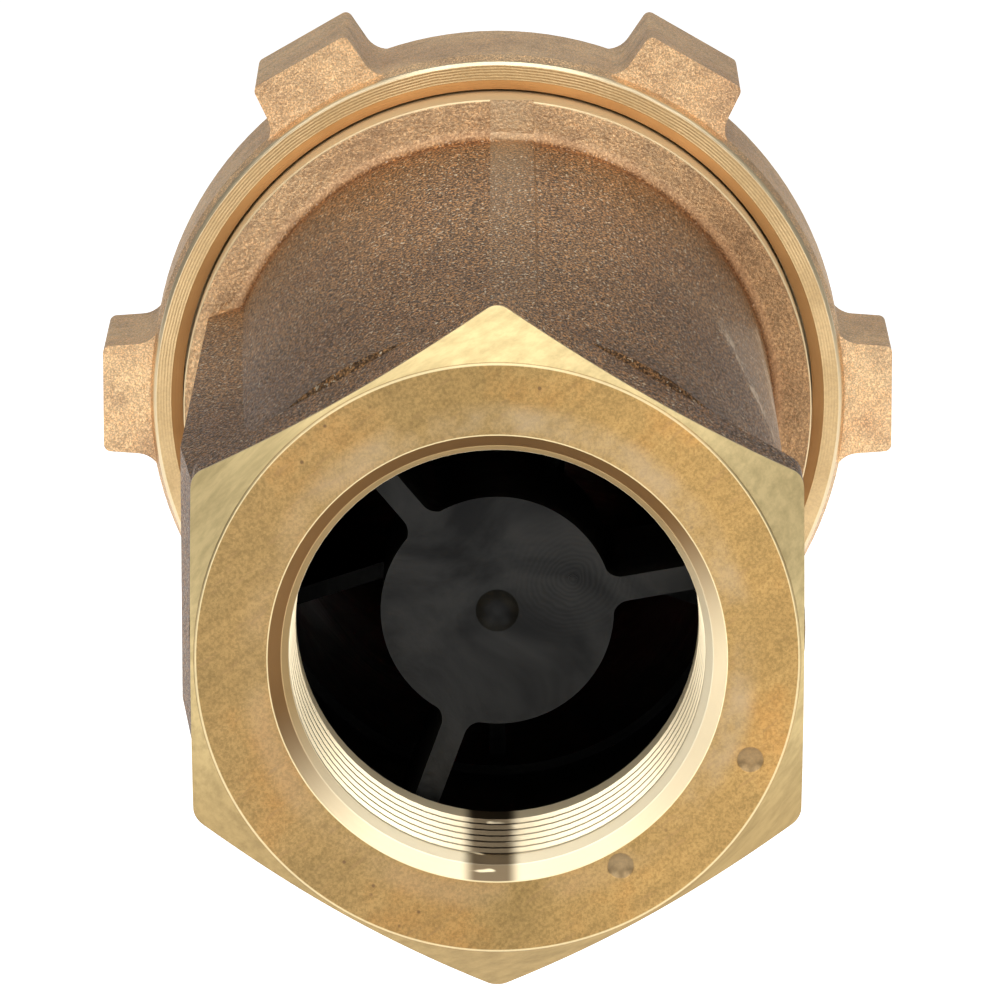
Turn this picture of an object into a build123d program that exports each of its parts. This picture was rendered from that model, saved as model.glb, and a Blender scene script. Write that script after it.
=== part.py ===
"""In-line sight glass: a long bronze inlet body, a lugged union ring, and a caged glass tube
with a turning rotor, ending in a bronze outlet socket. All sizes are in millimetres.

The pipe axis is Y and flow runs along +Y. Depths called *_d are measured from the inlet hex face.
"""

import os
from math import cos, radians, sqrt, tan

from build123d import *

os.makedirs("parts", exist_ok=True)

# ---- driving dimensions -------------------------------------------------------------------
total_length = 210.0
inlet_face = -total_length / 2      # Y of the inlet hex face

# 1-1/2 inch taper pipe thread, both ends
thread_pitch = 25.4 / 11.5
thread_root_r = 24.03               # root radius at the mouth
inlet_crest_r = 22.75               # crest radius at the inlet's mouth, bored over size
outlet_crest_r = 22.27              # crest radius at the outlet's mouth, basic size
thread_start_d = 3.0                # depth of the first full crest
thread_turns = 7
thread_taper = 1 / 32               # radius lost per millimetre of depth
mouth_chamfer_r = 25.0
mouth_step_r = 23.5                 # where the mouth chamfer meets the lead-in
mouth_step_d = 1.6

# inlet body
inlet_flats = 66.8                  # across flats
inlet_hex_d = 12.0                  # depth where the hex ends
hex_face_r = 32.86                  # circle left flat by the corner chamfer
hex_corner_r = 2.2
barrel_r = 34.0
chamber_r = 29.5
chamber_d = 19.6                    # shoulder that the cartridge stops against
flange_front_d = 128.0
# name-plate pad on the left: depth, distance from the axis, top and bottom heights
pad_sections = ((10.0, 33.4, 17.5, 13.0), (34.0, 35.6, 16.2, 12.8), (flange_front_d, 35.7, 11.7, 12.0))
punch_marks = ((27.6, -11.2), (13.5, -23.2))   # centre-punch marks on the inlet face, X and Z
punch_r = 1.5
punch_depth = 0.55
seam_left, seam_right = -0.9, 4.4   # ground-back casting seam along the top of the barrel
seam_top = 33.98
flange_fillet = 1.5
spigot_r = 38.9
hook_d = 138.5
hook_r = 40.9
union_d = 143.0                     # face where the two bodies meet

# union ring
ring_front_d = 132.7
ring_back_d = 153.5
ring_bore_r = 39.2
ring_raw_r = 43.4
ring_face_r = 42.8
ring_shoulder_d = 138.0
ring_thread_r = 41.0                # crest radius of the female thread
ring_thread_depth = 0.9
ring_pitch = 2.0
lug_count = 6
lug_tip_r = 49.1
lug_width = 13.9
lug_corner_r = 0.9
lug_root = 1.7                      # how far the hollow at each root reaches along the ring

# window body
male_thread_r = 40.95
male_thread_end_d = 155.0
pocket_r = 33.6                     # bore that holds the glass
pocket_end_d = 186.0
window_start_d = 157.0
window_end_d = 181.5
post_count = 4
post_r = 39.4
post_width = 9.0
rear_ring_r = 37.0
rear_ring_end_d = 187.5
spider_seat_d = 191.0
outlet_flats = 58.0
outlet_hex_d = 190.0                # depth where the outlet hex starts
outlet_face_r = 28.6

# glass and seals
glass_outer_r = 33.2
glass_inner_r = 29.0
gasket_thickness = 2.1
gasket_inner_r = 28.2

# plastic cartridge
cartridge_r = 29.2
spider_front_d = 20.8
spider_end_d = 55.0
spider_ring_wall = 1.8
spider_hub_r = 13.0
spider_hub_d = 22.8
spider_hub_end_d = 50.0
spoke_width = 2.8
spoke_fillet = 2.0
dimple_r = 2.4
dimple_depth = 0.9
gate_place = (8.4, 3.6)             # moulding gate on the hub, X and Z
spoke_angles = (10, 130, 250)
tube_inner_r = 26.4
vane_thickness = 1.8
core_r = 8.0
core_start_d = 60.5
core_end_d = 152.0
vane_count = 5
vane_end_d = 139.0
throat_r = 19.5                     # the sleeve closes to this, to aim the flow at the blades
throat_d = 137.0

# rotor and its bearings
shaft_r = 2.0
shaft_start_d = 141.5
shaft_end_d = 190.5
bush_bore_r = 2.05
bush_r = 4.5
bush_flange_r = 6.0
bush_flange = 1.4
inlet_bush_barrel = 9.0
outlet_bush_barrel = 6.4
outlet_hub_d = 184.0                # where the outlet spider's hub starts
rotor_start_d = 155.9
rotor_end_d = 180.1
rotor_hub_r = 9.0
rotor_tip_r = 27.6
blade_count = 6
blade_pitch_angle = 38
blade_thickness = 1.5


# ---- shared shapes ------------------------------------------------------------------------
def at(depth):
    """Y of a point at this depth behind the inlet face."""
    return inlet_face + depth


def profile(*points):
    """A closed outline of (radius, depth) points in the XY plane, ready to revolve about Y."""
    with BuildSketch(Plane.XY) as outline:
        with BuildLine():
            Polyline(*[(radius, at(depth)) for radius, depth in points], close=True)
        make_face()
    return outline.sketch


def band(inner, outer, start, end):
    """The outline of a plain ring."""
    return profile((inner, start), (outer, start), (outer, end), (inner, end))


def across(depth):
    """A plane square to the pipe axis, X to the right, Z up, facing back to the inlet."""
    return Plane(origin=(0, at(depth), 0), x_dir=(1, 0, 0), z_dir=(0, -1, 0))


def pipe_thread(face_d, inward, crest_r):
    """A female taper thread cut from the face at face_d; inward is +1 or -1 along the pipe.

    Each turn is a ring: a flat crest, then a 60 degree groove, stepping in down the taper.
    """
    root_flat = 0.04 * thread_pitch
    groove = 2 * (thread_root_r - crest_r) * tan(radians(30)) + root_flat
    points = [(0, -1), (mouth_chamfer_r + 1, -1), (mouth_chamfer_r, 0), (mouth_step_r, mouth_step_d)]
    for turn in range(thread_turns):
        crest = crest_r - turn * thread_pitch * thread_taper
        root = crest + thread_root_r - crest_r
        land = thread_start_d + turn * thread_pitch
        land_end = land + thread_pitch - groove
        points.append((crest, land))
        if turn < thread_turns - 1:
            points.append((crest, land_end))
            points.append((root, land_end + (groove - root_flat) / 2))
            points.append((root, land_end + (groove + root_flat) / 2))
    points.append((crest, land + 2.5 * thread_pitch))
    points.append((0, land + 2.5 * thread_pitch))
    return profile(*[(radius, face_d + inward * depth) for radius, depth in points])


def thread_rings(crest_r, depth, start, end):
    """Outlines of V grooves between two depths; a negative depth cuts towards the axis."""
    count = int((end - start) / ring_pitch)
    for turn in range(count):
        middle = start + (turn + 0.5) * ring_pitch
        half = 0.42 * ring_pitch
        beyond = crest_r - 0.2 * depth
        yield profile(
            (beyond, middle - 1.2 * half),
            (crest_r + depth, middle - 0.1),
            (crest_r + depth, middle + 0.1),
            (beyond, middle + 1.2 * half),
        )


def spherical_dent(radius, depth, place, face_d):
    """Presses a shallow round dent into a face seen from the inlet; place is its X and Z."""
    ball_r = (radius**2 + depth**2) / (2 * depth)
    with Locations((place[0], at(face_d + depth - ball_r), place[1])):
        Sphere(ball_r, mode=Mode.SUBTRACT)


# ---- bronze bodies ------------------------------------------------------------------------
def make_inlet_body():
    """Hex socket, long barrel with a name-plate pad, and the hooked flange inside the ring."""
    corner = inlet_flats / sqrt(3)
    with BuildPart() as body:
        with BuildSketch(across(inlet_hex_d)):
            RegularPolygon(radius=corner, side_count=6, rotation=90)
        extrude(amount=inlet_hex_d)
        fillet(body.edges().filter_by(Axis.Y), hex_corner_r)
        chamfered = profile(
            (0, 0), (hex_face_r, 0), (corner + 1, corner + 1 - hex_face_r), (corner + 1, 13), (0, 13)
        )
        revolve(chamfered, axis=Axis.Y, mode=Mode.INTERSECT)
        barrel = profile(
            (0, inlet_hex_d - 4),
            (barrel_r - 2.6, inlet_hex_d - 4),
            (barrel_r, inlet_hex_d + 1.6),
            (barrel_r, flange_front_d),
            (spigot_r - 0.25, flange_front_d),
            (spigot_r, flange_front_d + 0.25),
            (spigot_r, hook_d),
            (hook_r - 0.3, hook_d),
            (hook_r, hook_d + 0.3),
            (hook_r, union_d),
            (0, union_d),
        )
        revolve(barrel, axis=Axis.Y)
        fillet(body.edges().filter_by(GeomType.CIRCLE).filter_by(at_flange_root), flange_fillet)
        for depth, side, top, bottom in pad_sections:
            with BuildSketch(across(depth)):
                with BuildLine():
                    Polyline(
                        (-27, top + 3), (-side, top), (-side, -bottom), (-27, -bottom - 5), close=True
                    )
                make_face()
        loft(ruled=True)
        with BuildSketch(across(inlet_hex_d + 1)):
            with BuildLine():
                Polyline(
                    (seam_left - 0.2, seam_top - 1), (seam_left, seam_top), (seam_right, seam_top),
                    (seam_right + 0.9, seam_top - 1), close=True,
                )
            make_face()
        extrude(amount=-(flange_front_d - inlet_hex_d - 1))
        with BuildSketch(across(flange_front_d - 0.12)):
            with Locations(((seam_left + seam_right) / 2, (barrel_r + spigot_r) / 2)):
                Rectangle(seam_right - seam_left, spigot_r - barrel_r)
        extrude(amount=-1)
        revolve(pipe_thread(0, 1, inlet_crest_r), axis=Axis.Y, mode=Mode.SUBTRACT)
        for place in punch_marks:
            spherical_dent(punch_r, punch_depth, place, 0)
        revolve(
            profile((0, chamber_d), (chamber_r - 1.5, chamber_d), (chamber_r, chamber_d + 1),
                    (chamber_r, union_d), (0, union_d)),
            axis=Axis.Y,
            mode=Mode.SUBTRACT,
        )
    return body


def at_flange_root(edge):
    """True for the circle where the barrel runs into the flange's front face."""
    return abs(edge.radius - barrel_r) < 0.01 and abs(edge.arc_center.Y - at(flange_front_d)) < 0.01


def make_ring_nut():
    """Six-lug union ring: it turns on the spigot and pulls the hooked flange to the window body."""
    with BuildPart() as nut:
        outside = profile(
            (36, ring_front_d),
            (ring_face_r - 0.35, ring_front_d),
            (ring_face_r, ring_front_d + 0.35),
            (ring_raw_r, ring_front_d + 2.2),
            (ring_raw_r, ring_back_d - 1.2),
            (ring_raw_r - 1.2, ring_back_d),
            (36, ring_back_d),
        )
        revolve(outside, axis=Axis.Y)
        with BuildSketch(across(ring_front_d + 1.7)):
            with PolarLocations(0, lug_count):
                add(lug_outline())
        extrude(amount=-(ring_back_d - ring_front_d - 1.7))
        tips = nut.edges().filter_by(Axis.Y).filter_by(lambda edge: far_out(edge) > lug_tip_r - 0.5)
        fillet(tips, lug_corner_r)
        revolve(band(0, ring_bore_r, ring_front_d - 1, ring_back_d + 1), axis=Axis.Y, mode=Mode.SUBTRACT)
        mouth = profile(
            (ring_bore_r - 1, ring_front_d - 1),
            (ring_bore_r + 2.4, ring_front_d - 1),
            (ring_bore_r, ring_front_d + 1.4),
            (ring_bore_r - 1, ring_front_d + 1.4),
        )
        revolve(mouth, axis=Axis.Y, mode=Mode.SUBTRACT)
        threaded = profile(
            (36, ring_shoulder_d),
            (ring_thread_r, ring_shoulder_d),
            (ring_thread_r, ring_back_d - 0.8),
            (ring_thread_r + 1.0, ring_back_d + 0.2),
            (36, ring_back_d + 0.2),
        )
        revolve(threaded, axis=Axis.Y, mode=Mode.SUBTRACT)
        for groove in thread_rings(ring_thread_r, ring_thread_depth, union_d + 0.5, ring_back_d - 0.5):
            revolve(groove, axis=Axis.Y, mode=Mode.SUBTRACT)
    return nut


def lug_outline():
    """One lug's outline, along +X of its sketch, with a hollow curve at each root."""
    half = lug_width / 2
    wide = half + lug_root
    root = sqrt((ring_raw_r - 0.3)**2 - wide**2)
    neck = root + 1.6 * lug_root
    middle = (root + 0.62 * lug_root, half + 0.32 * lug_root)
    with BuildSketch(Plane.XY) as lug:
        with BuildLine():
            ThreePointArc((root, -wide), (middle[0], -middle[1]), (neck, -half))
            Line((neck, -half), (lug_tip_r, -half + 0.3))
            Line((lug_tip_r, -half + 0.3), (lug_tip_r, half - 0.3))
            Line((lug_tip_r, half - 0.3), (neck, half))
            ThreePointArc((neck, half), middle, (root, wide))
            Line((root, wide), (root - 4, 0))
            Line((root - 4, 0), (root, -wide))
        make_face()
    return lug.sketch


def far_out(edge):
    """Distance of an edge's middle from the pipe axis."""
    middle = edge.center()
    return sqrt(middle.X**2 + middle.Z**2)


def make_window_body():
    """Male thread, four window posts round the glass, and the outlet hex socket, in one casting."""
    corner = outlet_flats / sqrt(3)
    with BuildPart() as body:
        with BuildSketch(across(total_length)):
            RegularPolygon(radius=corner, side_count=6, rotation=90)
        extrude(amount=total_length - outlet_hex_d)
        fillet(body.edges().filter_by(Axis.Y), hex_corner_r)
        rise = corner + 1 - outlet_face_r
        chamfered = profile(
            (0, outlet_hex_d - 1), (corner + 1, outlet_hex_d - 1), (corner + 1, total_length - rise),
            (outlet_face_r, total_length), (0, total_length),
        )
        revolve(chamfered, axis=Axis.Y, mode=Mode.INTERSECT)
        shell = profile(
            (0, union_d + 0.1),
            (male_thread_r - 0.8, union_d + 0.1),
            (male_thread_r, union_d + 0.9),
            (male_thread_r, male_thread_end_d),
            (post_r, male_thread_end_d + 1.2),
            (post_r, window_start_d),
            (rear_ring_r, window_end_d),
            (rear_ring_r, rear_ring_end_d - 1),
            (rear_ring_r - 1, rear_ring_end_d),
            (31.0, outlet_hex_d + 2.5),
            (0, outlet_hex_d + 2.5),
        )
        revolve(shell, axis=Axis.Y)
        for groove in thread_rings(male_thread_r, -ring_thread_depth, union_d + 1, male_thread_end_d):
            revolve(groove, axis=Axis.Y, mode=Mode.SUBTRACT)
        with BuildSketch(across(window_start_d)) as openings:
            Circle(post_r + 3)
            Circle(pocket_r - 3, mode=Mode.SUBTRACT)
            with PolarLocations(0, post_count, start_angle=45):
                Rectangle(2 * (post_r + 6), post_width, mode=Mode.SUBTRACT)
        extrude(amount=-(window_end_d - window_start_d), mode=Mode.SUBTRACT)
        pocket = profile(
            (0, union_d), (pocket_r + 0.6, union_d), (pocket_r, union_d + 0.8),
            (pocket_r, pocket_end_d), (cartridge_r + 0.3, pocket_end_d),
            (cartridge_r + 0.3, spider_seat_d), (0, spider_seat_d),
        )
        revolve(pocket, axis=Axis.Y, mode=Mode.SUBTRACT)
        revolve(pipe_thread(total_length, -1, outlet_crest_r), axis=Axis.Y, mode=Mode.SUBTRACT)
        revolve(band(35.2, 38.2, union_d, union_d + 2.1), axis=Axis.Y, mode=Mode.SUBTRACT)
    return body


# ---- glass and seals ----------------------------------------------------------------------
def make_glass_tube():
    """Borosilicate tube, ground square with polished edges."""
    start = union_d + gasket_thickness
    end = pocket_end_d - gasket_thickness
    with BuildPart() as tube:
        revolve(band(glass_inner_r, glass_outer_r, start, end), axis=Axis.Y)
        chamfer(tube.edges().filter_by(GeomType.CIRCLE), 0.4)
    return tube


def make_ring(inner, outer, start, end, edge=0.0):
    """A turned or moulded ring, with its corners rounded by edge."""
    with BuildPart() as ring:
        revolve(band(inner, outer, start, end), axis=Axis.Y)
        if edge > 0:
            fillet(ring.edges().filter_by(GeomType.CIRCLE), edge)
    return ring


# ---- black plastic cartridge ----------------------------------------------------------------
def make_inlet_spider():
    """Three spokes and a closed hub in a short sleeve, first thing behind the inlet thread."""
    sleeve_r = cartridge_r - spider_ring_wall
    with BuildPart() as spider:
        revolve(band(sleeve_r, cartridge_r, spider_front_d, spider_end_d), axis=Axis.Y)
        hub = profile(
            (0, spider_hub_d), (spider_hub_r, spider_hub_d), (spider_hub_r - 0.8, spider_hub_end_d),
            (0, spider_hub_end_d),
        )
        revolve(hub, axis=Axis.Y)
        with BuildSketch(across(spider_hub_d)) as spokes:
            Circle(spider_hub_r - 0.1)
            for angle in spoke_angles:
                with Locations(Rot(0, 0, angle)):
                    with Locations(((sleeve_r + 0.6) / 2, 0)):
                        Rectangle(sleeve_r + 0.6, spoke_width)
            fillet(spokes.vertices().filter_by(on_hub), spoke_fillet)
        extrude(amount=-(spider_hub_end_d - spider_hub_d - 4))
        cavity = profile(
            (0, spider_hub_d + 2.2), (spider_hub_r - 2.8, spider_hub_d + 2.2),
            (spider_hub_r - 3.2, spider_hub_end_d + 1), (0, spider_hub_end_d + 1),
        )
        revolve(cavity, axis=Axis.Y, mode=Mode.SUBTRACT)
        spherical_dent(dimple_r, dimple_depth, (0, 0), spider_hub_d)
        with BuildSketch(across(spider_hub_d)):
            with Locations(gate_place):
                Circle(0.5)
        extrude(amount=0.15)
    return spider


def on_hub(vertex):
    """True where a spoke meets the hub's circle in the spider's sketch."""
    radius = sqrt(vertex.X**2 + vertex.Y**2)
    return abs(radius - (spider_hub_r - 0.1)) < 0.05


def make_flow_straightener():
    """Sleeve with straight vanes on a central core that carries the rotor's front bush."""
    with BuildPart() as straightener:
        sleeve = profile(
            (tube_inner_r, spider_end_d + 0.2), (cartridge_r, spider_end_d + 0.2),
            (cartridge_r, union_d - 0.2), (throat_r + 0.6, union_d - 0.2), (throat_r, union_d - 0.8),
            (throat_r, throat_d), (tube_inner_r, throat_d - 10),
        )
        revolve(sleeve, axis=Axis.Y)
        core = profile(
            (0, core_start_d), (core_r, core_start_d), (core_r, core_end_d - 2),
            (core_r - 1, core_end_d), (0, core_end_d),
        )
        revolve(core, axis=Axis.Y)
        with BuildSketch(across(core_start_d)):
            with PolarLocations((tube_inner_r + core_r) / 2, vane_count, start_angle=-90):
                Rectangle(tube_inner_r - core_r + 0.8, vane_thickness)
        extrude(amount=-(vane_end_d - core_start_d))
        revolve(band(0, bush_r, shaft_start_d - 2.5, core_end_d + 1), axis=Axis.Y, mode=Mode.SUBTRACT)
        revolve(band(0, 3.0, core_start_d - 1, core_start_d + 8), axis=Axis.Y, mode=Mode.SUBTRACT)
    return straightener


def make_nose_cone():
    """Rounded plug pressed into the front of the straightener's core."""
    with BuildPart() as nose:
        with BuildSketch(Plane.XY):
            with BuildLine():
                Line((0, at(core_start_d - 9)), (0, at(core_start_d + 7)))
                Line((0, at(core_start_d + 7)), (3.0, at(core_start_d + 7)))
                Line((3.0, at(core_start_d + 7)), (3.0, at(core_start_d)))
                Line((3.0, at(core_start_d)), (core_r, at(core_start_d)))
                Spline(
                    (core_r, at(core_start_d)), (0, at(core_start_d - 9)),
                    tangents=((0, -1), (-1, 0)), tangent_scalars=(1.2, 1.2),
                )
            make_face()
        revolve(axis=Axis.Y)
    return nose


def make_outlet_spider():
    """Three-spoke carrier for the rotor's rear bush, trapped behind the glass."""
    rim_r = cartridge_r - 2.2
    hub_r = bush_flange_r + 1.0
    with BuildPart() as spider:
        revolve(band(rim_r, cartridge_r, pocket_end_d + 0.1, spider_seat_d - 0.2), axis=Axis.Y)
        revolve(band(bush_r, hub_r, outlet_hub_d, spider_seat_d - 0.2), axis=Axis.Y)
        with BuildSketch(across(pocket_end_d + 0.4)):
            for angle in spoke_angles:
                with Locations(Rot(0, 0, angle)):
                    with Locations(((rim_r + hub_r) / 2, 0)):
                        Rectangle(rim_r - hub_r + 0.8, spoke_width)
        extrude(amount=-(spider_seat_d - pocket_end_d - 0.9))
    return spider


# ---- rotor ----------------------------------------------------------------------------------
def make_bush(flange_d, direction, barrel):
    """Flanged bush; direction is +1 where the barrel runs along +Y from the flange."""
    start = flange_d + direction * bush_flange
    end = start + direction * barrel
    with BuildPart() as bush:
        outline = profile(
            (bush_bore_r, flange_d), (bush_flange_r, flange_d), (bush_flange_r, start),
            (bush_r, start), (bush_r, end), (bush_bore_r, end),
        )
        revolve(outline, axis=Axis.Y)
    return bush


def make_rotor():
    """Hub with pitched blades, moulded in one piece and bored for the shaft and its pin."""
    length = rotor_end_d - rotor_start_d
    middle = at((rotor_start_d + rotor_end_d) / 2)
    blade_length = (length - 4) / cos(radians(blade_pitch_angle))
    with BuildPart() as rotor:
        for blade in range(blade_count):
            turn = 360 / blade_count * blade
            place = Location((0, middle, 0)) * Rot(0, turn, 0) * Rot(blade_pitch_angle, 0, 0)
            with Locations(place * Location(((rotor_tip_r + 2) / 2, 0, 0))):
                Box(rotor_tip_r + 2, blade_length, blade_thickness)
        swept = profile(
            (0, rotor_start_d + 1.5), (rotor_hub_r, rotor_start_d + 1.5),
            (rotor_tip_r, rotor_start_d + 4), (rotor_tip_r, rotor_end_d - 4),
            (rotor_hub_r, rotor_end_d - 1.5), (0, rotor_end_d - 1.5),
        )
        revolve(swept, axis=Axis.Y, mode=Mode.INTERSECT)
        hub = profile(
            (0, rotor_start_d), (rotor_hub_r - 3, rotor_start_d), (rotor_hub_r, rotor_start_d + 3),
            (rotor_hub_r, rotor_end_d - 3), (rotor_hub_r - 3, rotor_end_d), (0, rotor_end_d),
        )
        revolve(hub, axis=Axis.Y)
        revolve(band(0, shaft_r, rotor_start_d - 1, rotor_end_d + 1), axis=Axis.Y, mode=Mode.SUBTRACT)
        with Locations((0, middle, 0)):
            Cylinder(1.0, 14.0, mode=Mode.SUBTRACT)
    return rotor


def make_rotor_shaft():
    """Ground shaft with two circlip grooves and a cross hole for the drive pin."""
    middle = at((rotor_start_d + rotor_end_d) / 2)
    with BuildPart() as shaft:
        revolve(band(0, shaft_r, shaft_start_d, shaft_end_d), axis=Axis.Y)
        chamfer(shaft.edges().filter_by(GeomType.CIRCLE), 0.4)
        for groove_d in circlip_depths():
            revolve(band(shaft_r - 0.4, shaft_r + 1, groove_d, groove_d + 0.8), axis=Axis.Y,
                    mode=Mode.SUBTRACT)
        with Locations((0, middle, 0)):
            Cylinder(1.0, 14.0, mode=Mode.SUBTRACT)
    return shaft


def circlip_depths():
    """Depths of the front faces of the two circlips."""
    return (rotor_start_d - 0.9, rotor_end_d + 0.1)


def make_rotor_pin():
    """Cross pin that drives the shaft from the rotor's hub."""
    middle = at((rotor_start_d + rotor_end_d) / 2)
    with BuildPart() as pin:
        with Locations((0, middle, 0)):
            Cylinder(1.0, 13.0)
        chamfer(pin.edges().filter_by(GeomType.CIRCLE), 0.2)
    return pin


def make_thrust_washers():
    """One washer at each end of the rotor, between circlip and bush."""
    with BuildPart() as washers:
        for start in (rotor_start_d - 2.2, rotor_end_d + 1.2):
            revolve(band(bush_bore_r, 5.0, start, start + 1.0), axis=Axis.Y)
    return washers


def make_circlips():
    """Two open external circlips, each with a gap and two lugs."""
    with BuildPart() as clips:
        for start in circlip_depths():
            with BuildSketch(across(start)):
                Circle(3.4)
                Circle(shaft_r - 0.35, mode=Mode.SUBTRACT)
                with Locations((0, 3)):
                    Rectangle(1.6, 3.6, mode=Mode.SUBTRACT)
                with Locations((-1.7, 3.2), (1.7, 3.2)):
                    Circle(0.9)
            extrude(amount=-0.7)
    return clips


# ---- build and write ------------------------------------------------------------------------
def save(piece, name):
    """Label a finished piece and write its STEP file."""
    piece.part.label = name
    export_step(piece.part, f"parts/{name}.step")


gasket_r = pocket_r - 0.2
glass_end_d = pocket_end_d - gasket_thickness
save(make_inlet_body(), "inlet_body")
save(make_ring_nut(), "ring_nut")
save(make_ring(ring_bore_r + 0.1, hook_r - 0.1, ring_shoulder_d, hook_d), "slip_washer")
save(make_window_body(), "window_body")
save(make_ring(35.3, 38.1, union_d, union_d + 2.1, 0.6), "union_o_ring")
save(make_glass_tube(), "glass_tube")
save(make_ring(gasket_inner_r, gasket_r, union_d, union_d + gasket_thickness), "inlet_glass_gasket")
save(make_ring(gasket_inner_r, gasket_r, glass_end_d, pocket_end_d), "outlet_glass_gasket")
save(make_ring(24.0, cartridge_r - 1.2, chamber_d, spider_front_d), "cartridge_seat_ring")
save(make_inlet_spider(), "inlet_spider")
save(make_flow_straightener(), "flow_straightener")
save(make_nose_cone(), "nose_cone")
save(make_outlet_spider(), "outlet_spider")
save(make_bush(core_end_d + bush_flange, -1, inlet_bush_barrel), "inlet_bush")
save(make_bush(outlet_hub_d - bush_flange, 1, outlet_bush_barrel), "outlet_bush")
save(make_rotor(), "rotor")
save(make_rotor_shaft(), "rotor_shaft")
save(make_rotor_pin(), "rotor_pin")
save(make_thrust_washers(), "thrust_washers")
save(make_circlips(), "shaft_circlips")
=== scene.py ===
"""Looks of the in-line sight glass: sand-cast and machined bronze, black moulded plastic,
glass and a red rotor, in a pale studio seen along the inlet axis. Metres, in the row frame."""

from math import cos, pi, radians, sin

import bpy
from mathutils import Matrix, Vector


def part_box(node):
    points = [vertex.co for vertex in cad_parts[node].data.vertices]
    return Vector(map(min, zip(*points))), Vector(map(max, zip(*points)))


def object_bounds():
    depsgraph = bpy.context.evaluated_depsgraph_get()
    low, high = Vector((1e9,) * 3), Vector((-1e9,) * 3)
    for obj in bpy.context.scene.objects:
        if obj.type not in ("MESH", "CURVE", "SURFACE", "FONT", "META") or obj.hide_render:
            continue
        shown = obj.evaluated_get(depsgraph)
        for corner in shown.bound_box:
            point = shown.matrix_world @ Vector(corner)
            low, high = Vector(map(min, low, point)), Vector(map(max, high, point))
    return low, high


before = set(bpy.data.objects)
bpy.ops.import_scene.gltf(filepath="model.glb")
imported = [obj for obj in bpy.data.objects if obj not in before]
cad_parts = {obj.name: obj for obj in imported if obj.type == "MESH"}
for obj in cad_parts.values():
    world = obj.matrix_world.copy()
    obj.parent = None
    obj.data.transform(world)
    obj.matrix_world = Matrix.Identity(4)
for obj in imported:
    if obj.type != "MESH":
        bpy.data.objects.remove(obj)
cad_low, cad_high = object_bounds()

MM = 0.001

# ---- places read from the frame -------------------------------------------------------------
inlet_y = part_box("inlet_body")[0].y
outlet_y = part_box("window_body")[1].y
ring_front_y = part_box("ring_nut")[0].y

# ---- CAD edges that the masks follow; a depth is taken from the end face of that casting ----
MOUTH_R = 25.0 * MM             # outer edge of the cone at a thread's mouth
MOUTH_STEP_R = 23.5 * MM        # where that cone meets the lead-in
SOCKET_D = 20 * MM              # past the end of a socket's thread
OUTSIDE = -1 * MM               # in front of any end face
INLET_FACE_R = 32.86 * MM       # circle left flat by the inlet's corner chamfer
OUTLET_FACE_R = 28.6 * MM       # and by the outlet's
CHAMBER_D = 18 * MM             # just before the machined chamber behind a thread
FLANGE_D = 128 * MM             # raw front of the inlet body's flange
INLET_END_D = 150 * MM          # past the end of the inlet body
RING_FACE_R = 42.95 * MM        # edge of the ring's turned front
GATE_X, GATE_Z = 8.4 * MM, 3.6 * MM    # moulding gate on the inlet spider's hub

SOFT = 0.05 * MM                # width of a mask's edge
CRISP = 0.03 * MM
BRUSH_ANGLE = radians(52)       # slant of the tool marks on the hex faces

# ---- colours --------------------------------------------------------------------------------


def rgb(red, green, blue):
    return (red, green, blue, 1.0)


def grey(level):
    return rgb(level, level, level)


OLIVE = rgb(0.205, 0.140, 0.056)
GOLD = rgb(0.240, 0.160, 0.063)
ORANGE = rgb(0.270, 0.158, 0.055)
PALE = rgb(0.370, 0.300, 0.195)
EDGE_HIGHLIGHT = rgb(0.86, 0.72, 0.42)
CREAM = rgb(0.95, 0.82, 0.56)
DEEP_CREAM = rgb(0.80, 0.62, 0.36)
# colour of a painted dark reflection in the thread
DARK_REFLECTION = rgb(0.085, 0.050, 0.022)
GROUND = rgb(0.72, 0.55, 0.31)
GLINT = rgb(1.0, 0.90, 0.72)
SHADOW = rgb(0.05, 0.03, 0.02)


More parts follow.
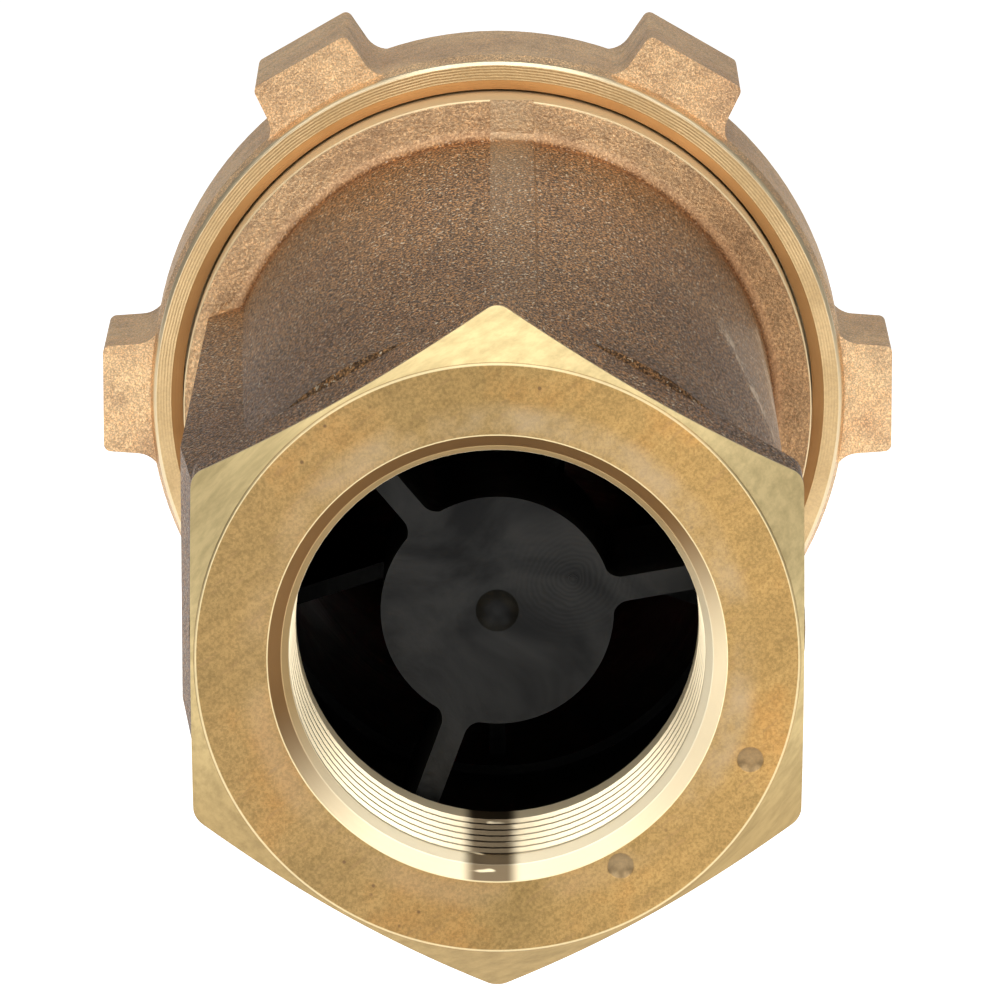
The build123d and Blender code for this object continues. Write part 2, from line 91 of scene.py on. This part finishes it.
# ---- node helpers ---------------------------------------------------------------------------
class Shader:
    """A material under construction, with short calls for the nodes it is made of."""

    def __init__(self, name):
        self.material = bpy.data.materials.new(name)
        self.material.use_nodes = True
        self.nodes = self.material.node_tree.nodes
        self.links = self.material.node_tree.links
        self.surface = self.nodes["Principled BSDF"]
        coords = self.nodes.new("ShaderNodeTexCoord")
        self.place = coords.outputs["Object"]
        split = self.nodes.new("ShaderNodeSeparateXYZ")
        self.links.new(self.place, split.inputs[0])
        self.x, self.y, self.z = split.outputs

    def feed(self, socket, value):
        """Joins a value or another node's output to a socket."""
        if isinstance(value, bpy.types.NodeSocket):
            self.links.new(value, socket)
        else:
            socket.default_value = value

    def put(self, name, value):
        """Joins a value or a node's output to an input of the surface."""
        self.feed(self.surface.inputs[name], value)

    # numbers
    def math(self, operation, a, b=0.0):
        """One arithmetic node."""
        node = self.nodes.new("ShaderNodeMath")
        node.operation = operation
        for socket, value in zip(node.inputs, (a, b)):
            self.feed(socket, value)
        return node.outputs[0]

    def plus(self, a, b):
        return self.math("ADD", a, b)

    def minus(self, a, b):
        return self.math("SUBTRACT", a, b)

    def times(self, a, b):
        return self.math("MULTIPLY", a, b)

    def distance(self, x=0.0, z=0.0):
        """Distance from the line along the pipe through (x, z); from the pipe axis by default."""
        squares = [self.math("POWER", self.minus(*pair), 2) for pair in ((self.x, x), (self.z, z))]
        return self.math("SQRT", self.plus(*squares))

    def smooth(self, value, low, high, start=0.0, end=1.0):
        """start below low, end above high, eased between."""
        node = self.nodes.new("ShaderNodeMapRange")
        node.interpolation_type = "SMOOTHSTEP"
        for socket, number in zip(node.inputs, (value, low, high, start, end)):
            self.feed(socket, number)
        return node.outputs[0]

    def mix_value(self, amount, a, b):
        """A number between a and b."""
        node = self.nodes.new("ShaderNodeMix")
        self.feed(node.inputs["Factor"], amount)
        self.feed(node.inputs["A"], a)
        self.feed(node.inputs["B"], b)
        return node.outputs["Result"]

    # masks: one inside, nought outside
    def between(self, value, low, high, soft=SOFT):
        """Inside low..high."""
        rise = self.smooth(value, low - soft, low + soft)
        return self.times(rise, self.below(value, high - soft, high + soft))

    def below(self, value, low, high):
        """One below low, nought above high."""
        return self.smooth(value, low, high, 1.0, 0.0)

    def outside(self, mask):
        """One where the mask is nought."""
        return self.smooth(mask, 0, 1, 1.0, 0.0)

    def all_of(self, *masks):
        total = masks[0]
        for mask in masks[1:]:
            total = self.times(total, mask)
        return total

    def any_of(self, *masks):
        total = masks[0]
        for mask in masks[1:]:
            total = self.math("MAXIMUM", total, mask)
        return total

    # textures
    def noise(self, scale, detail=3.0, roughness=0.6, distortion=0.0, place=None):
        """Fractal noise; scale is in features per metre."""
        node = self.nodes.new("ShaderNodeTexNoise")
        self.feed(node.inputs["Vector"], place or self.place)
        node.inputs["Scale"].default_value = scale
        node.inputs["Detail"].default_value = detail
        node.inputs["Roughness"].default_value = roughness
        node.inputs["Distortion"].default_value = distortion
        return node.outputs[0]

    def cells(self, scale):
        """Distance to the nearest of scattered points; scale is in points per metre."""
        node = self.nodes.new("ShaderNodeTexVoronoi")
        self.feed(node.inputs["Vector"], self.place)
        node.inputs["Scale"].default_value = scale
        return node.outputs["Distance"]

    def stretched(self, lengths, turn=(0.0, 0.0, 0.0)):
        """Coordinates turned, then drawn out by the lengths, for marks that run one way."""
        node = self.nodes.new("ShaderNodeMapping")
        node.vector_type = "TEXTURE"
        self.feed(node.inputs["Vector"], self.place)
        node.inputs["Rotation"].default_value = turn
        node.inputs["Scale"].default_value = lengths
        return node.outputs[0]

    def slanted(self, length):
        """Coordinates for marks of this length that lie along the brushing."""
        return self.stretched((1.0, 1.0, length), (0.0, BRUSH_ANGLE, 0.0))

    # colours
    def blend(self, amount, a, b, mode="MIX"):
        """A colour between a and b."""
        node = self.nodes.new("ShaderNodeMix")
        node.data_type = "RGBA"
        node.blend_type = mode
        self.feed(node.inputs["Factor"], amount)
        self.feed(node.inputs["A"], a)
        self.feed(node.inputs["B"], b)
        return node.outputs["Result"]

    def tinted(self, colour, tint, amount=1.0):
        """The colour multiplied by a tint."""
        return self.blend(amount, colour, tint, "MULTIPLY")

    def ramp(self, value, *stops):
        """Colours along a value; each stop is (position, colour)."""
        node = self.nodes.new("ShaderNodeValToRGB")
        self.feed(node.inputs["Fac"], value)
        elements = node.color_ramp.elements
        while len(elements) < len(stops):
            elements.new(0.5)
        for element, (position, colour) in zip(elements, stops):
            element.position = position
            element.color = colour
        return node.outputs["Color"]

    # relief
    def bump(self, height, distance, strength=1.0, under=None):
        """A normal tilted by a height, over another normal where one is given."""
        node = self.nodes.new("ShaderNodeBump")
        self.feed(node.inputs["Height"], height)
        node.inputs["Distance"].default_value = distance
        self.feed(node.inputs["Strength"], strength)
        if under is not None:
            self.links.new(under, node.inputs["Normal"])
        return node.outputs["Normal"]


# ---- raw bronze -----------------------------------------------------------------------------
def raw_colour(shader, light, grain, depth_of_grain, drawn=(1.0, 1.0, 1.0)):
    """Sand-cast bronze: brown with reddish and tan clouds, fine dark grains and bright flecks."""
    clouds = shader.noise(48, 5, 0.62)
    base = shader.ramp(
        clouds,
        (0.30, rgb(0.292 * light, 0.168 * light, 0.084 * light)),
        (0.46, rgb(0.338 * light, 0.202 * light, 0.100 * light)),
        (0.60, rgb(0.378 * light, 0.234 * light, 0.118 * light)),
        (0.74, rgb(0.353 * light, 0.200 * light, 0.096 * light)),
    )
    grains = shader.ramp(
        shader.noise(grain, 1.5, 0.7, place=shader.stretched(drawn)),
        (0.36, rgb(0.16, 0.15, 0.16)),
        (0.50, rgb(0.80, 0.79, 0.78)),
        (0.64, rgb(2.60, 2.45, 2.20)),
    )
    grained = shader.tinted(base, grains, depth_of_grain)
    return shader.tinted(grained, soot(shader), 0.6)


def soot(shader):
    """Moulding-sand stains a few millimetres across."""
    return shader.ramp(
        shader.noise(330, 4, 0.7),
        (0.30, rgb(0.62, 0.60, 0.62)),
        (0.52, rgb(1.0, 1.0, 1.0)),
        (0.72, rgb(1.16, 1.10, 1.04)),
    )


def raw_relief(shader):
    """Height of the cast grain, in three sizes."""
    grain = shader.noise(2100, 3, 0.8)
    pits = shader.smooth(shader.cells(900), 0.02, 0.35)
    swells = shader.noise(170, 3, 0.5)
    return shader.plus(shader.plus(grain, shader.times(pits, 0.12)), shader.times(swells, 0.5))


# ---- machined bronze ------------------------------------------------------------------------
def speckled(shader, colour, amount, dark, light):
    """The colour broken up by specks a third of a millimetre across."""
    return shader.tinted(colour, shader.ramp(shader.noise(3300, 2, 0.7), (0.36, dark), (0.62, light)), amount)


def cut_colour(shader):
    """Machined bronze: mottled between three tints, with fine slanting scratches and dark pits."""
    stain = shader.noise(75, 5, 0.65)
    cut = shader.ramp(stain, (0.34, OLIVE), (0.52, GOLD), (0.68, ORANGE), (0.78, OLIVE))
    cut = speckled(shader, cut, 0.5, rgb(0.62, 0.60, 0.54), rgb(1.34, 1.30, 1.22))
    brushing = shader.ramp(
        shader.noise(900, 3, 0.7, place=shader.slanted(9.0)),
        (0.36, rgb(0.84, 0.82, 0.77)),
        (0.62, rgb(1.16, 1.15, 1.12)),
    )
    cut = shader.tinted(cut, brushing, 0.4)
    scratch = shader.smooth(shader.noise(1500, 2, 0.6, place=shader.slanted(7.0)), 0.60, 0.72)
    cut = shader.blend(shader.times(scratch, 0.42), cut, rgb(0.20, 0.125, 0.055))
    pits = shader.below(shader.cells(430), 0.05, 0.13)
    sparse = shader.smooth(shader.noise(140, 3), 0.54, 0.62)
    return shader.blend(shader.times(shader.times(pits, sparse), 0.8), cut, rgb(0.10, 0.06, 0.03))


def turned_rings(shader, pitch):
    """Fine lathe rings about the pipe axis."""
    wobble = shader.times(shader.noise(220, 2), 0.25 * MM)
    rings = shader.math("SINE", shader.times(shader.plus(shader.distance(), wobble), 2 * pi / pitch))
    return shader.plus(shader.times(rings, 0.5), shader.noise(1200, 3))


def finish_bronze(shader, raw, cut, machined, sheen, marks, metal):
    """Joins raw and machined bronze by the machined mask; sheen is the machined roughness."""
    shader.put("Base Color", shader.blend(machined, raw, cut))
    shader.put("Metallic", metal)
    raw_rough = shader.smooth(shader.noise(2600, 2, 0.8), 0.38, 0.62, 0.66, 0.34)
    shader.put("Roughness", shader.mix_value(machined, raw_rough, sheen))
    relief = shader.bump(raw_relief(shader), 0.20 * MM, shader.minus(1.0, machined))
    shader.put("Normal", shader.bump(marks, 0.010 * MM, machined, relief))
    return shader.material


def socket_end(shader, depth, face_r, reflection_strength):
    """Colour, mask, sheen and metalness of a hex end: flat face, corner cone, mouth and thread."""
    radius = shader.distance()
    near = shader.between(depth, OUTSIDE, SOCKET_D)

    # masks
    dents = shader.all_of(
        shader.between(depth, 0.06 * MM, 0.8 * MM),
        shader.between(radius, MOUTH_R + 0.1 * MM, face_r - 0.8 * MM),
    )
    face = shader.any_of(shader.between(depth, OUTSIDE, 0.25 * MM), dents)
    corner = shader.all_of(
        shader.between(shader.minus(radius, depth), face_r - 0.45 * MM, face_r + 0.45 * MM, 0.2 * MM),
        shader.between(depth, 0.2 * MM, 5.6 * MM),
    )
    mouth = shader.all_of(shader.between(radius, MOUTH_STEP_R - SOFT, MOUTH_R + SOFT, CRISP), near)
    crests = shader.all_of(shader.between(radius, 0, MOUTH_STEP_R, CRISP), near)
    roots = shader.all_of(
        shader.between(radius, MOUTH_STEP_R, 24.2 * MM, CRISP),
        shader.between(depth, 2.4 * MM, SOCKET_D),
    )
    thread = shader.any_of(crests, roots)
    lead = shader.all_of(
        shader.between(radius, 22.80 * MM, 23.6 * MM, CRISP),
        shader.between(depth, 1.3 * MM, 3.0 * MM, CRISP),
    )
    # masks for the painted highlights on the face's outer edge and the mouth's lip
    rim = shader.all_of(
        shader.between(radius, face_r - 0.12 * MM, face_r + 0.12 * MM, 0.06 * MM),
        shader.between(depth, OUTSIDE, 0.4 * MM),
    )
    lip = shader.all_of(shader.between(radius, MOUTH_R - SOFT, MOUTH_R + 0.1 * MM, 0.04 * MM), near)
    rubbed = shader.all_of(
        shader.between(radius, MOUTH_R, 28.0 * MM, 1.2 * MM),
        shader.smooth(shader.noise(75, 4, 0.6), 0.36, 0.66),
        shader.smooth(shader.plus(shader.x, shader.z), -16 * MM, 20 * MM, 0.35, 1.0),
        face,
    )
    upper = shader.smooth(shader.z, -22 * MM, 6 * MM)
    # mask for painted light on the mouth cone and lead-in, rising towards the bottom right
    lit_side = shader.smooth(shader.minus(shader.times(shader.x, 0.5), shader.z), -8 * MM, 14 * MM)
    ragged = shader.noise(520, 2, 0.6, place=shader.stretched((3.0, 1.0, 1.0)))
    # painted reflection: a ragged dark streak down the bottom of the mouth, lead-in and thread
    painted_reflection = shader.all_of(
        shader.between(shader.x, -3.3 * MM, 1.9 * MM, 0.9 * MM),
        shader.below(shader.z, -12 * MM, -6 * MM),
        shader.any_of(thread, lead, mouth),
        shader.smooth(ragged, 0.66, 0.60),
    )
    painted_reflection = shader.times(painted_reflection, reflection_strength)

    # face and corners
    # painted light: the machined face is tinted lighter at both sides, most at the right
    side_light = shader.ramp(
        shader.smooth(shader.x, -30 * MM, 30 * MM),
        (0.10, rgb(1.20, 1.17, 1.22)),
        (0.50, rgb(1.08, 1.06, 1.06)),
        (0.92, rgb(1.48, 1.40, 1.34)),
    )
    colour = shader.tinted(cut_colour(shader), side_light)
    colour = shader.blend(shader.times(rubbed, 0.6), colour, PALE)
    colour = shader.blend(shader.times(dents, 0.6), colour, rgb(0.22, 0.165, 0.100))
    haze = shader.ramp(
        shader.noise(700, 4, 0.7, place=shader.slanted(9.0)),
        (0.35, rgb(0.86, 0.84, 0.79)),
        (0.62, rgb(1.14, 1.13, 1.10)),
    )
    # painted light: the corner chamfer is pale gold at the top and dark brown below
    corner_lit_top = shader.blend(upper, rgb(0.36, 0.255, 0.110), rgb(0.60, 0.47, 0.235))
    colour = shader.blend(corner, colour, shader.tinted(corner_lit_top, haze))

    # mouth and thread
    # painted light and reflection: the mouth cone is pale gold towards the bottom right and dark brown at the
    # top left
    colour = shader.blend(mouth, colour, shader.blend(lit_side, rgb(0.26, 0.150, 0.065), rgb(0.92, 0.78, 0.52)))
    colour = shader.blend(thread, colour, CREAM)
    deep = shader.smooth(radius, 22.95 * MM, 23.6 * MM)
    colour = shader.blend(shader.all_of(crests, deep), colour, DEEP_CREAM)
    # painted light: the lead-in is likewise pale towards the bottom right and darker at the top left
    colour = shader.blend(lead, colour, shader.blend(lit_side, rgb(0.52, 0.36, 0.17), rgb(0.98, 0.88, 0.64)))
    # the painted dark reflection laid over the thread
    colour = shader.blend(painted_reflection, colour, DARK_REFLECTION)
    # painted highlight: thin bright lines round the face's outer edge and the mouth's lip
    colour = shader.blend(shader.times(shader.any_of(rim, lip), 0.6), colour, EDGE_HIGHLIGHT)

    sheen = shader.smooth(shader.noise(90, 4, 0.6), 0.3, 0.7, 0.42, 0.34)
    sheen = shader.mix_value(thread, sheen, 0.28)
    sheen = shader.mix_value(shader.any_of(mouth, lead, dents, corner), sheen, 0.42)
    pale = shader.any_of(
        lead, thread, shader.all_of(mouth, lit_side), shader.times(shader.all_of(corner, upper), 0.55)
    )
    pale = shader.times(pale, shader.smooth(painted_reflection, 0, 1, 1.0, 0.1))
    metal = shader.minus(1.0, shader.times(pale, 0.55))
    return colour, shader.any_of(face, corner, mouth, thread, rim), sheen, metal


# ---- the three castings ---------------------------------------------------------------------
def gate_scar(shader, raw, depth):
    """Torn bright streaks where a casting gate was broken off, on the right near the flange."""
    height = shader.plus(shader.z, shader.times(depth, 0.229))
    wander = shader.times(shader.minus(shader.noise(200, 3), 0.5), 1.4 * MM)
    across = shader.plus(shader.x, wander)
    outer = shader.plus(across, shader.times(height, 0.15))
    inner = shader.plus(across, shader.times(height, 0.41))
    patch = shader.all_of(
        shader.between(height, 25 * MM, 39 * MM, 1.5 * MM),
        shader.below(depth, FLANGE_D - 2 * MM, FLANGE_D - 1 * MM),
    )
    ground = shader.all_of(
        patch,
        shader.below(outer, 37.8 * MM, 38.0 * MM),
        shader.smooth(inner, 41.8 * MM, 42.2 * MM),
    )
    ridges = shader.any_of(
        shader.between(outer, 37.10 * MM, 37.80 * MM, 0.2 * MM),
        shader.between(inner, 41.9 * MM, 42.5 * MM, 0.2 * MM),
    )
    streaks = shader.noise(1300, 4, 0.8, place=shader.stretched((1.0, 5.0, 2.0)))
    torn = shader.smooth(streaks, 0.44, 0.60)
    raw = shader.blend(shader.times(ground, 0.30), raw, rgb(0.46, 0.35, 0.25))
    return shader.blend(shader.all_of(ridges, patch, torn), raw, rgb(0.62, 0.48, 0.33))


def barrel_raw(shader, depth, radius):
    """The inlet body's cast skin, with painted shade on the barrel behind the hex and painted light on the
    flange.
    """
    flange = shader.all_of(
        shader.smooth(depth, FLANGE_D - 1.6 * MM, FLANGE_D),
        shader.below(depth, FLANGE_D + 3 * MM, FLANGE_D + 4 * MM),
    )
    off_flange = shader.outside(flange)
    drawn = (1.0, 2.2, 1.0)
    raw = raw_colour(shader, 1.00, 3500, shader.smooth(flange, 0, 1, 0.90, 0.22), drawn)
    # painted glints: small bright specks scattered over the barrel
    flecks = shader.smooth(shader.noise(2600, 1, 0.5, place=shader.stretched(drawn)), 0.66, 0.70)
    raw = shader.blend(shader.all_of(flecks, off_flange), raw, GLINT)

    # painted shade along and across: a shadow band just behind the hex, darker flanks, and the barrel darker
    # towards the hex
    shadow_behind_hex = shader.times(
        shader.smooth(depth, 12.1 * MM, 12.3 * MM),
        shader.smooth(depth, 14 * MM, 26 * MM, 0.24, 0.0),
    )
    shaded_flanks = shader.smooth(shader.math("ABSOLUTE", shader.x), 8 * MM, 30 * MM, 0.0, 0.30)
    painted_shade = shader.plus(shadow_behind_hex, shader.all_of(shaded_flanks, off_flange))
    raw = shader.blend(painted_shade, raw, SHADOW)
    # painted shade: the barrel darkens towards the hex
    along = shader.ramp(
        shader.smooth(depth, 35 * MM, 92 * MM),
        (0.0, rgb(0.70, 0.64, 0.56)),
        (1.0, rgb(1.02, 0.97, 0.90)),
    )
    raw = shader.tinted(raw, along)
    # painted light: the flange's front is made lighter and paler, most near the middle
    flange_light = shader.ramp(
        shader.smooth(shader.x, 8 * MM, 36 * MM),
        (0.0, rgb(1.60, 1.90, 2.34)),
        (1.0, rgb(1.08, 1.16, 1.28)),
    )
    raw = shader.blend(flange, raw, shader.tinted(raw, flange_light))

    # the flange's root and the casting seam
    root = shader.all_of(
        shader.between(radius, 33.6 * MM, 35.2 * MM, 0.5 * MM),
        shader.between(depth, FLANGE_D - 3.2 * MM, FLANGE_D + 0.5 * MM, 0.6 * MM),
    )
    raw = shader.blend(shader.times(root, 0.35), raw, rgb(0.33, 0.150, 0.070))
    seam = shader.all_of(
        shader.smooth(shader.x, -1.0 * MM, -0.8 * MM),
        shader.below(shader.x, 1.5 * MM, 6.5 * MM),
        shader.smooth(shader.z, 20 * MM, 30 * MM),
        shader.smooth(depth, 60 * MM, FLANGE_D, 0.06, 0.34),
    )
    raw = shader.blend(seam, raw, rgb(0.62, 0.50, 0.33))
    return gate_scar(shader, raw, depth)


def inlet_bronze():
    """Machined face, corner chamfer, thread and spigot; everything else as cast."""
    shader = Shader("bronze_inlet")
    radius = shader.distance()
    depth = shader.minus(shader.y, inlet_y)
    colour, end, sheen, metal = socket_end(shader, depth, INLET_FACE_R, 0.88)
    inside = shader.all_of(
        shader.between(radius, 0, 31 * MM),
        shader.between(depth, CHAMBER_D, INLET_END_D),
    )
    spigot = shader.all_of(
        shader.between(radius, 38.72 * MM, 45 * MM),
        shader.between(depth, FLANGE_D + SOFT, INLET_END_D),
    )
    colour = shader.blend(spigot, colour, GROUND)
    metal = shader.mix_value(spigot, metal, 0.35)
    raw = barrel_raw(shader, depth, radius)
    marks = shader.plus(shader.times(turned_rings(shader, 0.5 * MM), 0.15), shader.noise(1300, 3))
    return finish_bronze(shader, raw, colour, shader.any_of(end, inside, spigot), sheen, marks, metal)


def ring_bronze():
    """The ring's front, bevels and bore are turned; the lugs and outside are as cast."""
    shader = Shader("bronze_ring")
    radius = shader.distance()
    depth = shader.minus(shader.y, ring_front_y)
    at_front = shader.between(depth, OUTSIDE, 0.6 * MM)
    front = shader.all_of(shader.between(radius, 0, RING_FACE_R), at_front)
    bore = shader.between(radius, 0, 42.2 * MM)
    back = shader.all_of(
        shader.between(radius, 0, RING_FACE_R + SOFT),
        shader.smooth(depth, 20.2 * MM, 20.4 * MM),
    )
    bevel = shader.all_of(
        shader.between(radius, 39.1 * MM, 40.55 * MM, CRISP),
        shader.between(depth, 0.02 * MM, 1.5 * MM, CRISP),
    )
    edge = shader.all_of(shader.between(radius, 42.4 * MM, RING_FACE_R), at_front)

    stain = shader.noise(120, 4, 0.6)
    colour = shader.ramp(stain, (0.35, rgb(0.49, 0.345, 0.175)), (0.65, rgb(0.56, 0.400, 0.210)))
    colour = speckled(shader, colour, 0.6, rgb(0.86, 0.86, 0.84), rgb(1.10, 1.09, 1.06))
    tan_bevel = shader.ramp(stain, (0.35, rgb(0.66, 0.38, 0.160)), (0.65, rgb(0.80, 0.48, 0.21)))
    # painted shade: the tan bevel darkens towards the bottom
    shaded_low_half = shader.smooth(shader.z, 15 * MM, 38 * MM, 0.45, 0.0)
    colour = shader.blend(bevel, colour, shader.blend(shaded_low_half, tan_bevel, rgb(0.10, 0.05, 0.02)))
    # painted highlight: a pale line round the outer edge of the turned front
    colour = shader.blend(shader.times(edge, 0.7), colour, rgb(0.78, 0.66, 0.44))
    sheen = shader.mix_value(bevel, shader.smooth(stain, 0.3, 0.7, 0.38, 0.30), 0.5)
    metal = shader.smooth(bevel, 0, 1, 1.0, 0.25)
    # painted light: the ring's cast skin is drawn nearly twice as light as the barrel's, and paler, as lit
    # from the front
    raw = shader.tinted(raw_colour(shader, 1.95, 4600, 0.26), rgb(0.98, 1.13, 1.31))
    turned = shader.any_of(front, bore, back)
    return finish_bronze(shader, raw, colour, turned, sheen, turned_rings(shader, 0.35 * MM), metal)


def window_bronze():
    """Turned thread, seats and outlet end; posts, rear ring and hex flats as cast."""
    shader = Shader("bronze_window")
    radius = shader.distance()
    depth = shader.minus(outlet_y, shader.y)
    colour, end, sheen, metal = socket_end(shader, depth, OUTLET_FACE_R, 0.0)
    pocket = shader.any_of(
        shader.all_of(shader.between(radius, 0, 29.7 * MM), shader.between(depth, CHAMBER_D, 25 * MM)),
        shader.all_of(shader.between(radius, 0, 33.75 * MM), shader.between(depth, 23.8 * MM, 80 * MM)),
    )
    thread = shader.between(depth, 55.1 * MM, 80 * MM)
    colour = shader.blend(thread, colour, rgb(0.55, 0.40, 0.21))
    machined = shader.any_of(end, pocket, thread)
    raw = raw_colour(shader, 1.2, 3900, 0.5)
    return finish_bronze(shader, raw, colour, machined, sheen, turned_rings(shader, 0.45 * MM), metal)


# ---- other materials ------------------------------------------------------------------------
def black_plastic(name, gloss):
    """Moulded black nylon: satin, with flow rings spreading from the gate and a faint grain."""
    shader = Shader(name)
    flow = shader.noise(70, 4, 0.55, 1.4)
    spread = shader.distance(GATE_X, GATE_Z)
    spread = shader.plus(spread, shader.times(shader.noise(150, 3), 3.0 * MM))
    rings = shader.math("SINE", shader.times(spread, 2 * pi / (0.55 * MM)))
    rings = shader.times(rings, shader.below(spread, 3 * MM, 11 * MM))
    colour = shader.ramp(
        shader.plus(flow, shader.times(rings, 0.06)),
        (0.28, rgb(0.002, 0.002, 0.002)),
        (0.55, rgb(0.007, 0.007, 0.006)),
        (0.80, rgb(0.015, 0.014, 0.012)),
    )
    shader.put("Base Color", colour)
    shader.put("Roughness", shader.smooth(flow, 0.3, 0.7, 0.36, 0.5))
    mottled = shader.plus(flow, shader.times(rings, 0.035))
    shader.put("Specular IOR Level", shader.smooth(mottled, 0.32, 0.68, 0.10 * gloss, 0.25 * gloss))
    relief = shader.bump(shader.noise(2600, 2), 0.02 * MM)
    relief = shader.bump(rings, 0.012 * MM, 1.0, relief)
    shader.put("Normal", shader.bump(flow, 0.35 * MM, 1.0, relief))
    return shader.material


def clouded(shader, cloud, colours, roughnesses, height, distance):
    """Colour and roughness that follow one cloud, over a fine relief."""
    shader.put("Base Color", shader.ramp(cloud, *colours))
    shader.put("Roughness", shader.smooth(cloud, 0.3, 0.7, *roughnesses))
    shader.put("Normal", shader.bump(height, distance))
    return shader.material


def rotor_plastic():
    """Red acetal, faintly clouded, with a moulded sheen."""
    shader = Shader("red_acetal")
    colours = (0.3, rgb(0.34, 0.016, 0.010)), (0.7, rgb(0.46, 0.035, 0.020))
    return clouded(shader, shader.noise(120, 3), colours, (0.28, 0.4), shader.noise(1400, 2), 0.02 * MM)


def pale_polymer():
    """Natural PTFE for bushes and washers, faintly turned."""
    shader = Shader("natural_ptfe")
    colours = (0.3, rgb(0.70, 0.68, 0.61)), (0.7, rgb(0.82, 0.80, 0.74))
    rings = turned_rings(shader, 0.3 * MM)
    return clouded(shader, shader.noise(300, 3), colours, (0.42, 0.55), rings, 0.01 * MM)


def seal_rubber():
    """Black nitrile with a fine bloom."""
    shader = Shader("nitrile_rubber")
    colours = (0.35, grey(0.014)), (0.7, rgb(0.04, 0.04, 0.038))
    return clouded(shader, shader.noise(400, 4), colours, (0.6, 0.78), shader.noise(3000, 2), 0.02 * MM)


def ground_steel():
    """Centreless-ground stainless: bright with fine rings round the shaft."""
    shader = Shader("ground_stainless")
    shader.put("Metallic", 1.0)
    bands = shader.noise(900, 3, place=shader.stretched((10.0, 0.25, 10.0)))
    colours = (0.3, grey(0.50)), (0.7, rgb(0.68, 0.68, 0.67))
    return clouded(shader, bands, colours, (0.2, 0.32), bands, 0.01 * MM)


def tube_glass():
    """Clear borosilicate glass with a faint green and slight water marks."""
    shader = Shader("borosilicate")
    shader.put("Base Color", rgb(0.95, 0.985, 0.975))
    shader.put("Transmission Weight", 1.0)
    shader.put("IOR", 1.47)
    shader.put("Roughness", shader.smooth(shader.noise(130, 4, 0.6), 0.5, 0.75, 0.01, 0.06))
    shader.put("Normal", shader.bump(shader.noise(60, 2), 0.02 * MM))
    return shader.material


def dress(material, *names):
    """Puts one material on CAD nodes."""
    for name in names:
        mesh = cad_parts[name].data
        mesh.materials.clear()
        mesh.materials.append(material)


dress(inlet_bronze(), "inlet_body")
dress(ring_bronze(), "ring_nut")
dress(window_bronze(), "window_body")
dress(black_plastic("black_nylon", 1.0), "inlet_spider")
dress(black_plastic("dark_nylon", 0.55), "flow_straightener", "nose_cone", "outlet_spider")
dress(rotor_plastic(), "rotor")
dress(pale_polymer(), "slip_washer", "inlet_bush", "outlet_bush", "thrust_washers")
dress(seal_rubber(), "union_o_ring", "inlet_glass_gasket", "outlet_glass_gasket", "cartridge_seat_ring")
dress(ground_steel(), "rotor_shaft", "rotor_pin", "shaft_circlips")
dress(tube_glass(), "glass_tube")


# ---- studio ---------------------------------------------------------------------------------
def make_floor():
    """Plain pale floor a little way below the object, lit from within so that it stays white."""
    gap = 0.12
    bpy.ops.mesh.primitive_plane_add(size=40, location=(0, 0, cad_low.z - gap))
    floor = bpy.context.object
    floor.name = "studio_floor"
    shader = Shader("floor_white")
    shader.put("Base Color", shader.ramp(shader.noise(2, 2), (0.3, grey(0.90)), (0.7, grey(0.92))))
    shader.put("Roughness", 0.9)
    shader.put("Emission Color", grey(1))
    shader.put("Emission Strength", 0.62)
    floor.data.materials.append(shader.material)


def softbox(name, place, target, size, power):
    """A soft rectangular light aimed at a point."""
    light = bpy.data.lights.new(name, "AREA")
    light.shape = "RECTANGLE"
    light.size, light.size_y = size
    light.energy = power
    lamp = bpy.data.objects.new(name, light)
    lamp.location = place
    lamp.rotation_euler = (Vector(target) - Vector(place)).to_track_quat("-Z", "Y").to_euler()
    bpy.context.collection.objects.link(lamp)


def make_lights():
    """Dim white surroundings, and softboxes above, to both sides, in front and behind."""
    world = bpy.data.worlds.new("studio")
    world.use_nodes = True
    background = world.node_tree.nodes["Background"]
    background.inputs["Color"].default_value = grey(1)
    background.inputs["Strength"].default_value = 0.25
    bpy.context.scene.world = world
    softbox("overhead", (0.0, -0.15, 1.1), (0, -0.05, 0), (0.7, 0.5), 3.5)
    for name, across in (("left", -0.74), ("right", 0.74)):
        softbox(name, (across, -0.90, 0.90), (0, 0, 0), (1.15, 1.15), 11)
    softbox("front", (0, -2.3, -0.05), (0, 0, 0), (1.6, 1.0), 11)
    softbox("behind", (0, 1.5, 0.85), (0, 0.1, 0), (2.2, 1.0), 3.2)


def make_camera():
    """Long lens, a little above the pipe axis, looking along the flow."""
    tilt = radians(12.9)
    distance = 900 * MM
    drop = 17.4 * MM
    aside = 0.3 * MM
    data = bpy.data.cameras.new("camera")
    data.sensor_width = 36
    data.lens = 298
    data.clip_start, data.clip_end = 0.01, 100
    camera = bpy.data.objects.new("camera", data)
    camera.location = (
        aside,
        inlet_y - distance * cos(tilt) + drop * sin(tilt),
        distance * sin(tilt) + drop * cos(tilt),
    )
    camera.rotation_euler = (pi / 2 - tilt, 0, 0)
    bpy.context.collection.objects.link(camera)
    bpy.context.scene.camera = camera


make_floor()
make_lights()
make_camera()
bpy.context.scene.view_settings.view_transform = "Standard"
